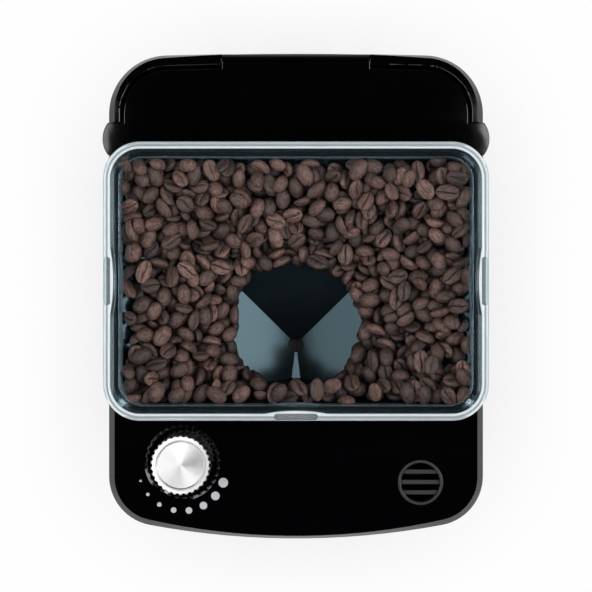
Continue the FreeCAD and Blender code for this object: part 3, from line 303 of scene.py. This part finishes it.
def metal(name, colour, rough, stretch, depth=0.00006):
    """Machined metal with fine lines along one direction."""
    finish = new_finish(name, Metallic=1.0)
    lines = finish.noise(120.0, 4.0, finish.stretched(*stretch))
    patch = finish.noise(35.0, 2.0)
    dark = rgb(*[c * 0.82 for c in colour])
    finish.set({
        "Base Color": finish.mix(patch, dark, rgb(*colour)),
        "Roughness": rough + lines * 0.14,
    })
    finish.bump(lines, 0.2, depth)
    return finish.material


def board_green():
    """Lacquered circuit board with copper tracks under the lacquer."""
    finish = new_finish("board_green", Coat_Weight=0.4)
    x, y, z = finish.axes()
    across = (x * 1400.0).sine().step(0.55, 0.7)
    up = (z * 1100.0).sine().step(0.6, 0.75)
    area = finish.cells(70.0, "Color")
    choice = finish.node("ShaderNodeSeparateColor", None, {0: area}, 0).step(0.45, 0.55)
    tracks = across * choice + up * (1.0 - choice)
    finish.set({
        "Base Color": finish.mix(tracks, rgb(0.012, 0.11, 0.045), rgb(0.05, 0.24, 0.09)),
        "Roughness": 0.34 - tracks * 0.06,
    })
    finish.bump(tracks, 0.2, 0.00004)
    return finish.material


def scale_ink():
    """Light grey inlay of the dial's scale."""
    finish = new_finish("scale_grey")
    fleck = finish.noise(2600.0, 2.0)
    finish.set({
        "Base Color": finish.mix(fleck, rgb(0.44, 0.45, 0.47), rgb(0.52, 0.53, 0.55)),
        "Roughness": 0.42 + fleck * 0.1,
    })
    finish.bump(fleck, 0.1, 0.00003)
    return finish.material


def roasted():
    """Roasted coffee: a brown for each bean, wrinkled skin with painted shade in its furrows, painted shade in the
    crease, golden where chaff lies in it, and painted shade deep between the beans.
    """
    finish = new_finish("roasted", Specular_IOR_Level=0.45)
    tone = finish.attribute("tone")
    crease = finish.attribute("crease").step(0.3, 0.8)
    chaff = finish.attribute("chaff")
    hollow = finish.attribute("hollow")
    place = finish.attribute("skin", "Vector")
    mottle = finish.noise(260.0, 3.0, place)
    wrinkle = finish.noise(900.0, 4.0, finish.stretched(0.45, 1.2, 1.2, place))
    fine = finish.noise(3000.0, 2.0, place)
    dark = finish.mix(mottle, rgb(0.052, 0.033, 0.030), rgb(0.094, 0.060, 0.053))
    light = finish.mix(mottle, rgb(0.185, 0.103, 0.086), rgb(0.335, 0.183, 0.150))
    flesh = finish.mix(tone, dark, light)
    # Painted shade in the wrinkles: where the wrinkle noise is low, which the bump sinks, the skin takes a darker
    # brown.
    painted_furrow_shade = finish.mix(tone, rgb(0.030, 0.019, 0.017), rgb(0.085, 0.050, 0.043))
    skin = finish.mix(wrinkle.step(0.36, 0.58), painted_furrow_shade, flesh)
    # Painted shade in the crease: near black in its groove and partly on its lips, golden where chaff lies in it.
    crease_shade_and_chaff = finish.mix(chaff, rgb(0.010, 0.006, 0.005), rgb(0.34, 0.19, 0.10))
    seamed = finish.mix(crease, skin, crease_shade_and_chaff)
    finish.set({
        # Painted shade: the colour turns near black the deeper a point lies between the beans.
        "Base Color": finish.mix(hollow * 0.72, seamed, rgb(0.006, 0.004, 0.004)),
        "Roughness": 0.38 + fine * 0.14 + crease * 0.2,
    })
    finish.bump(wrinkle + fine * 0.25 + mottle * 0.5, 0.75, 0.0009)
    return finish.material


finishes = {
    "gloss_black": gloss_black(),
    "funnel_black": funnel_black(),
    "satin_black": moulded(
        "satin_black", (0.012, 0.012, 0.013), rough=0.42, grain_scale=1800.0, grain_depth=0.00012),
    "vent_grey": moulded(
        "vent_grey", (0.011, 0.011, 0.012), rough=0.38, grain_scale=1600.0, grain_depth=0.0001),
    "smoke_clear": smoke_clear(),
    "satin_silver": satin_silver(),
    "scale_grey": scale_ink(),
    "rubber": moulded(
        "rubber", (0.016, 0.016, 0.016), rough=0.72, grain_scale=900.0, grain_depth=0.0003, spread=0.1),
    "steel": metal("steel", (0.58, 0.58, 0.59), rough=0.26, stretch=(1.0, 1.0, 12.0)),
    "burr_steel": metal("burr_steel", (0.46, 0.46, 0.47), rough=0.34, stretch=(6.0, 6.0, 1.0), depth=0.0001),
    "black_steel": metal("black_steel", (0.05, 0.05, 0.053), rough=0.42, stretch=(1.0, 1.0, 8.0)),
    "gear_nylon": moulded(
        "gear_nylon", (0.74, 0.70, 0.58), rough=0.44, grain_scale=700.0, grain_depth=0.00015, spread=0.08, tone_lift=1.1),
    "case_grey": moulded(
        "case_grey", (0.15, 0.155, 0.165), rough=0.5, grain_scale=1200.0, grain_depth=0.0002, spread=0.08, tone_lift=1.3),
    "magnet": moulded(
        "magnet", (0.06, 0.06, 0.065), rough=0.62, grain_scale=500.0, grain_depth=0.0003, spread=0.1, tone_lift=1.4),
    "board_green": board_green(),
    "component": moulded(
        "component", (0.02, 0.02, 0.022), rough=0.34, grain_scale=1500.0, grain_depth=0.00008),
    "brass": metal("brass", (0.78, 0.56, 0.24), rough=0.22, stretch=(1.0, 12.0, 1.0)),
}
for part in frame["record"]["subparts"]:
    mesh = nodes[part["node"]].data
    mesh.materials.clear()
    mesh.materials.append(finishes[part["material_slot"]])


# Coffee beans

# The hollow that they fill
wall_inset = 0.0070
hopper_half_x = hopper_high.x - wall_inset
hopper_front = hopper_low.y + wall_inset
hopper_rear = hopper_high.y - wall_inset
valley_y = burr_y - 0.0195
valley_z = feed_z + 0.0013
front_foot_z = deck_z + 0.014
funnel_slope = 0.51
bridge_z = deck_z + 0.008

# The crater over the feed hole, and the heap round it
crater_y = -0.0140
crater_half_x = 0.0358
crater_half_y = 0.0332
bean_top_z = rim_z - 0.0200
edge_charge = 0.0070
charge_rise = 0.15

# One bean, and how the beans are dropped: the solver works on a model that is larger by grow
bean_length = 0.0117
bean_width = 0.0086
bean_thickness = 0.0062
grow = 20.0
drop_cell = 0.0112
drop_height = 0.012
drop_loose = 3.5
drop_margin = 0.0055
drop_jitter = 0.0006
drop_seed = 11
look_seed = 5
settled_frames = 34


def funnel_height(x, y):
    sides = feed_z + funnel_slope * max(abs(x), y - burr_y)
    front = valley_z + (valley_y - y) * (front_foot_z - valley_z) / (valley_y - hopper_front)
    return max(sides, front, bridge_z if y < valley_y else 0.0)


def crater_outline(angle):
    """Half width of the crater, in a direction from its middle: round at the rear, squarer in front."""
    power = 2.0 if math.sin(angle) > 0.0 else 4.0
    across = abs(math.cos(angle) / crater_half_x) ** power
    along = abs(math.sin(angle) / crater_half_y) ** power
    even = (across + along) ** (-1.0 / power)
    return even * (1.0 + 0.035 * math.sin(3.0 * angle + 0.6) + 0.03 * math.sin(7.0 * angle + 2.0))


def past_crater(x, y):
    """Distance outside the crater's outline."""
    return math.hypot(x, y - crater_y) - crater_outline(math.atan2(y - crater_y, x))


def charge_top(x, y):
    """Top of the beans: a thin layer at the crater's edge that grows towards the walls."""
    return min(bean_top_z, funnel_height(x, y) + edge_charge + charge_rise * past_crater(x, y))


def mesh_object(name, points, faces):
    mesh = bpy.data.meshes.new(name)
    mesh.from_pydata(points, [], faces)
    mesh.update()
    shape = bpy.data.objects.new(name, mesh)
    scene.collection.objects.link(shape)
    return shape


def enlarged(points):
    return [tuple(grow * c for c in p) for p in points]


def settling_floor():
    count = 56
    xs = [hopper_half_x * (2.0 * i / (count - 1) - 1.0) for i in range(count)]
    ys = [hopper_front + (hopper_rear - hopper_front) * i / (count - 1) for i in range(count)]
    points = [(x, y, funnel_height(x, y)) for y in ys for x in xs]
    faces = [(j * count + i, j * count + i + 1, (j + 1) * count + i + 1, (j + 1) * count + i)
             for j in range(count - 1) for i in range(count - 1)]
    return mesh_object("settling_floor", enlarged(points), faces)


def settling_wall(x0, x1, y0, y1):
    points = [(x, y, z) for x in (x0, x1) for y in (y0, y1) for z in (feed_z, rim_z + 0.15)]
    faces = [(0, 1, 3, 2), (4, 6, 7, 5), (0, 4, 5, 1), (2, 3, 7, 6), (0, 2, 6, 4), (1, 5, 7, 3)]
    return mesh_object("settling_wall", enlarged(points), faces)


def settling_plug():
    count = 48
    points = []
    for z, draw_in in ((feed_z - 0.01, 0.003), (rim_z + 0.02, 0.0)):
        for i in range(count):
            angle = 2.0 * math.pi * i / count
            radius = crater_outline(angle) - draw_in
            points.append((radius * math.cos(angle), crater_y + radius * math.sin(angle), z))
    faces = [tuple(range(count))[::-1], tuple(range(count, 2 * count))]
    faces += [(i, (i + 1) % count, count + (i + 1) % count, count + i) for i in range(count)]
    return mesh_object("settling_plug", enlarged(points), faces)


def bean_section(t, bend):
    """One ring of points round a bean of unit half sizes, at t along it, with their depth in the crease."""
    full = max(1.0 - t * t, 0.0) ** 0.46
    lip = 0.10
    middle = bend * math.sin(math.pi * t)
    ring = [(1.0, 0.0, 0.0), (0.84, 0.24, 0.0), (0.52, 0.34, 0.0), (middle + 2.2 * lip, 0.35, 0.0),
            (middle + lip, 0.27, 0.5), (middle, -0.12, 1.0), (middle - lip, 0.27, 0.5),
            (middle - 2.2 * lip, 0.35, 0.0), (-0.52, 0.34, 0.0), (-0.84, 0.24, 0.0), (-1.0, 0.0, 0.0)]
    back = [math.pi * (1.0 + k / 8.0) for k in range(1, 8)]
    ring += [(math.cos(a), 1.3 * math.sin(a), 0.0) for a in back]
    return [(t, full * y, full * z, deep) for y, z, deep in ring]


def bean_form(bend):
    """Points of a unit bean with its flat side up, their crease depth, and its faces."""
    count = 11
    rings = [bean_section(-math.cos(math.pi * (k + 0.55) / (count + 0.1)), bend) for k in range(count)]
    size = len(rings[0])
    points = [p for ring in rings for p in ring]
    faces = []
    for k in range(count - 1):
        for i in range(size):
            j = (i + 1) % size
            faces.append((k * size + i, k * size + j, (k + 1) * size + j, (k + 1) * size + i))
    for ring, tip in ((0, -1.0), (count - 1, 1.0)):
        points.append((tip, 0.0, 0.0, 0.3))
        for i in range(size):
            a, b = ring * size + i, ring * size + (i + 1) % size
            faces.append((len(points) - 1, b, a) if ring == 0 else (len(points) - 1, a, b))
    return points, faces


def settling_walls():
    thick = 0.02
    left, right, front, rear = -hopper_half_x, hopper_half_x, hopper_front, hopper_rear
    return [settling_wall(left - thick, left, front - thick, rear + thick),
            settling_wall(right, right + thick, front - thick, rear + thick),
            settling_wall(left - thick, right + thick, front - thick, front),
            settling_wall(left - thick, right + thick, rear, rear + thick)]


def drop_places():
    """Columns of beans above the hopper: x, y, the funnel's height there, and how many beans lie over it."""
    crater_gap = 0.004
    front_gap = 0.002
    front_bank = 0.012
    deep = hopper_rear - hopper_front - 2.0 * drop_margin
    wide = 2.0 * (hopper_half_x - drop_margin)
    rows = round(deep / drop_cell)
    columns = round(wide / drop_cell)
    places = []
    for j in range(rows + 1):
        for i in range(columns + 1):
            x = wide * (i / columns - 0.5)
            y = hopper_front + drop_margin + deep * j / rows
            front_row = j == 0
            if past_crater(x, y) < (front_gap if front_row else crater_gap):
                continue
            low = funnel_height(x, y)
            beside_wall = i in (0, columns) or j in (0, rows)
            filled = round((charge_top(x, y) - low) * drop_loose / drop_cell)
            layers = max(2, filled) + 2 * beside_wall + (j == rows)
            if front_row and past_crater(x, y) < front_bank:
                layers = 3
            places.append((x, y, low, layers))
    return places


def dropped_beans():
    """Plain beans, turned at random, in columns above the hopper."""
    draw = random.Random(drop_seed)
    points, faces = bean_form(0.0)
    hull = [(p[0] * bean_length / 2.0, p[1] * bean_width / 2.0, p[2] * bean_thickness / 2.0) for p in points]
    pattern = mesh_object("settling_bean", enlarged(hull), faces)
    beans = []
    for x, y, low, layers in drop_places():
        for k in range(layers):
            bean = bpy.data.objects.new("settling_bean", pattern.data)
            jitter = Vector((draw.uniform(-1, 1), draw.uniform(-1, 1), 0.0)) * drop_jitter
            bean.location = (Vector((x, y, low + drop_height + k * drop_cell)) + jitter) * grow
            bean.rotation_euler = [draw.uniform(-math.pi, math.pi) for _ in range(3)]
            scale = draw.uniform(0.88, 1.06)
            bean.scale = (scale * draw.uniform(0.92, 1.08), scale, scale)
            scene.collection.objects.link(bean)
            beans.append(bean)
    bpy.data.objects.remove(pattern)
    return beans


def make_rigid(group, kind, shapes):
    """Hands a group of objects to the solver, each with its own kind of collision shape."""
    bpy.ops.object.select_all(action="DESELECT")
    for item in group:
        item.select_set(True)
    bpy.context.view_layer.objects.active = group[0]
    bpy.ops.rigidbody.objects_add(type=kind)
    for item, shape in zip(group, shapes):
        body = item.rigid_body
        body.collision_shape = shape
        body.friction = 0.9
        body.restitution = 0.0
        body.use_margin = True
        body.collision_margin = 0.0
        body.linear_damping = 0.2
        body.angular_damping = 0.7


def settle():
    """Drop a charge of beans into the hopper and return where each one comes to rest."""
    still = [settling_floor(), settling_plug()] + settling_walls()
    beans = dropped_beans()
    bpy.ops.rigidbody.world_add()
    solver = scene.rigidbody_world
    solver.point_cache.frame_end = settled_frames
    solver.substeps_per_frame = 5
    make_rigid(still, "PASSIVE", ["MESH"] * 2 + ["CONVEX_HULL"] * 4)
    make_rigid(beans, "ACTIVE", ["CONVEX_HULL"] * len(beans))
    for k in range(1, settled_frames + 1):
        scene.frame_set(k)
    places = [bean.matrix_world.copy() for bean in beans]
    bpy.ops.rigidbody.world_remove()
    for item in still + beans:
        bpy.data.objects.remove(item)
    scene.frame_set(1)
    return places


def painted_shade_depths(points):
    """How far each point lies below the heap round it, for the painted shade between the beans: 0 on top, 1 deep
    between the beans.
    """
    cell = 0.003
    near = range(-2, 3)
    tops = {}
    for p in points:
        key = (round(p.x / cell), round(p.y / cell))
        tops[key] = max(tops.get(key, 0.0), p.z)
    heap = {}
    for i, j in tops:
        around = [tops[i + a, j + b] for a in near for b in near if (i + a, j + b) in tops]
        heap[i, j] = sum(around) / len(around)
    shallow = 0.0005
    fade = 0.0055
    below = [heap[round(p.x / cell), round(p.y / cell)] - p.z for p in points]
    return [min(max((depth - shallow) / fade, 0.0), 1.0) for depth in below]


def bean_charge():
    places = settle()
    draw = random.Random(look_seed)
    forms = [bean_form(bend) for bend in (-0.14, -0.06, 0.05, 0.13)]
    half = Vector((bean_length, bean_width, bean_thickness)) / 2.0
    turned_over = Matrix.Translation((0.0, 0.0, -0.95 * half.z * grow)) @ Matrix.Rotation(math.pi, 4, "X")
    points, faces, tones, creases, chaffs, skins = [], [], [], [], [], []
    for place in places:
        form, sides = draw.choice(forms)
        tone = min(max(draw.gauss(0.37, 0.30), 0.0), 1.0)
        chaff = draw.choice((0.0, 0.05, 0.1, 0.25, 0.7))
        shift = Vector((draw.random(), draw.random(), draw.random()))
        if place.col[2].z < 0.0 and draw.random() < 0.25:
            place = place @ turned_over
        start = len(points)
        for x, y, z, deep in form:
            spot = Vector((x * half.x, y * half.y, z * half.z))
            points.append(place @ (spot * grow) / grow)
            skins.append(spot + shift)
            creases.append(deep)
        tones += [tone] * len(form)
        chaffs += [chaff] * len(form)
        faces += [tuple(start + i for i in side) for side in sides]
    charge = mesh_object("bean_charge", points, faces)
    # hollow darkens the beans' colour where they lie deep in the heap
    looks = {"tone": tones, "crease": creases, "chaff": chaffs, "hollow": painted_shade_depths(points)}
    for name, values in looks.items():
        charge.data.attributes.new(name, "FLOAT", "POINT").data.foreach_set("value", values)
    skin = charge.data.attributes.new("skin", "FLOAT_VECTOR", "POINT")
    skin.data.foreach_set("vector", [c for spot in skins for c in spot])
    charge.data.shade_smooth()
    charge.data.materials.append(roasted())
    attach(charge, "bean_hopper")
    return charge


bean_charge()


# Floor, light and camera

def add_floor():
    """White to the eye, with a painted shadow close to the part, and grey to the light that falls back on the part.
    """
    reach = 6.0
    shade_reach = 0.09
    corners = [(-reach, -reach, 0), (reach, -reach, 0), (reach, reach, 0), (-reach, reach, 0)]
    floor = mesh_object("floor", corners, [(0, 1, 2, 3)])
    finish = new_finish("floor", Roughness=0.9)
    speck = finish.noise(20.0, 2.0)
    finish.set({"Base Color": finish.mix(speck, rgb(0.58, 0.58, 0.58), rgb(0.60, 0.60, 0.60))})
    # Painted shadow: ambient occlusion darkens the emitted white that the camera sees near the part.
    open_sky = finish.node("ShaderNodeAmbientOcclusion", {"samples": 6}, {"Distance": shade_reach}, "AO")
    white_with_painted_shadow = finish.mix(open_sky, rgb(0.64, 0.64, 0.64), rgb(1.0, 1.0, 1.0))
    white = finish.node("ShaderNodeEmission", None, {"Color": white_with_painted_shadow, "Strength": 1.0})
    looked_at = finish.seen("Is Camera Ray", "Is Transmission Ray") * 0.98
    finish.lay_over(white, looked_at + finish.seen("Is Glossy Ray") * 0.2)
    floor.data.materials.append(finish.material)


def add_world():
    """A studio, pale at the horizon and dark overhead, and white where the camera looks past the floor."""
    scene.world = bpy.data.worlds.new("studio")
    studio = Finish(scene.world, "Background", "Generated")
    x, y, height = studio.axes()
    levels = ((0.0, 0.5), (0.2, 0.42), (0.5, 0.09), (0.75, 0.02), (0.93, 0.004))
    stops = [(place, rgb(level, level, level)) for place, level in levels]
    glow = studio.node("ShaderNodeValToRGB", {"stops": stops}, {0: height})
    turned_away = 0.46 + x * 0.16 - y * 0.1
    dimmed = studio.mix(turned_away, glow, rgb(0.0, 0.0, 0.0))
    looked_at = studio.seen("Is Camera Ray")
    studio.set({"Color": studio.mix(looked_at, dimmed, rgb(1.0, 1.0, 1.0))})


def add_lamp(name, place, target, width, height, watts):
    light = bpy.data.lights.new(name, "AREA")
    light.shape = "RECTANGLE"
    light.size = width
    light.size_y = height
    light.energy = watts
    lamp = bpy.data.objects.new(name, light)
    lamp.location = place
    lamp.rotation_euler = (Vector(target) - Vector(place)).to_track_quat("-Z", "Y").to_euler()
    scene.collection.objects.link(lamp)


def add_camera():
    """A camera straight above the middle of the part, looking down."""
    height = 0.95
    camera = bpy.data.cameras.new("camera")
    camera.sensor_width = 36.0
    camera.lens = 103.2
    camera.clip_end = 20.0
    holder = bpy.data.objects.new("camera", camera)
    holder.location = (0.0, 0.0, deck_z + height)
    scene.collection.objects.link(holder)
    scene.camera = holder


# Each lamp's name, place, target, width, height and watts
deck_middle = (0.0, 0.0, deck_z)
funnel_middle = (0.0, -0.04, feed_z)
lamps = (
    ("key_softbox", (-0.6, -0.9, 1.6), deck_middle, 0.9, 0.9, 9.0),
    ("left_softbox", (-0.75, 0.15, 1.9), deck_middle, 0.5, 0.9, 7.0),
    ("right_softbox", (0.75, 0.15, 1.9), deck_middle, 0.5, 0.9, 8.8),
    ("left_panel", (-1.25, -0.03, 1.1), deck_middle, 0.8, 0.8, 4.9),
    ("right_panel", (1.2, 0.0, 1.1), deck_middle, 0.8, 0.8, 9.4),
    ("top_lamp", (0.0, 0.102, 1.74), funnel_middle, 0.06, 0.07, 0.32),
)
add_floor()
add_world()
for lamp in lamps:
    add_lamp(*lamp)
add_camera()
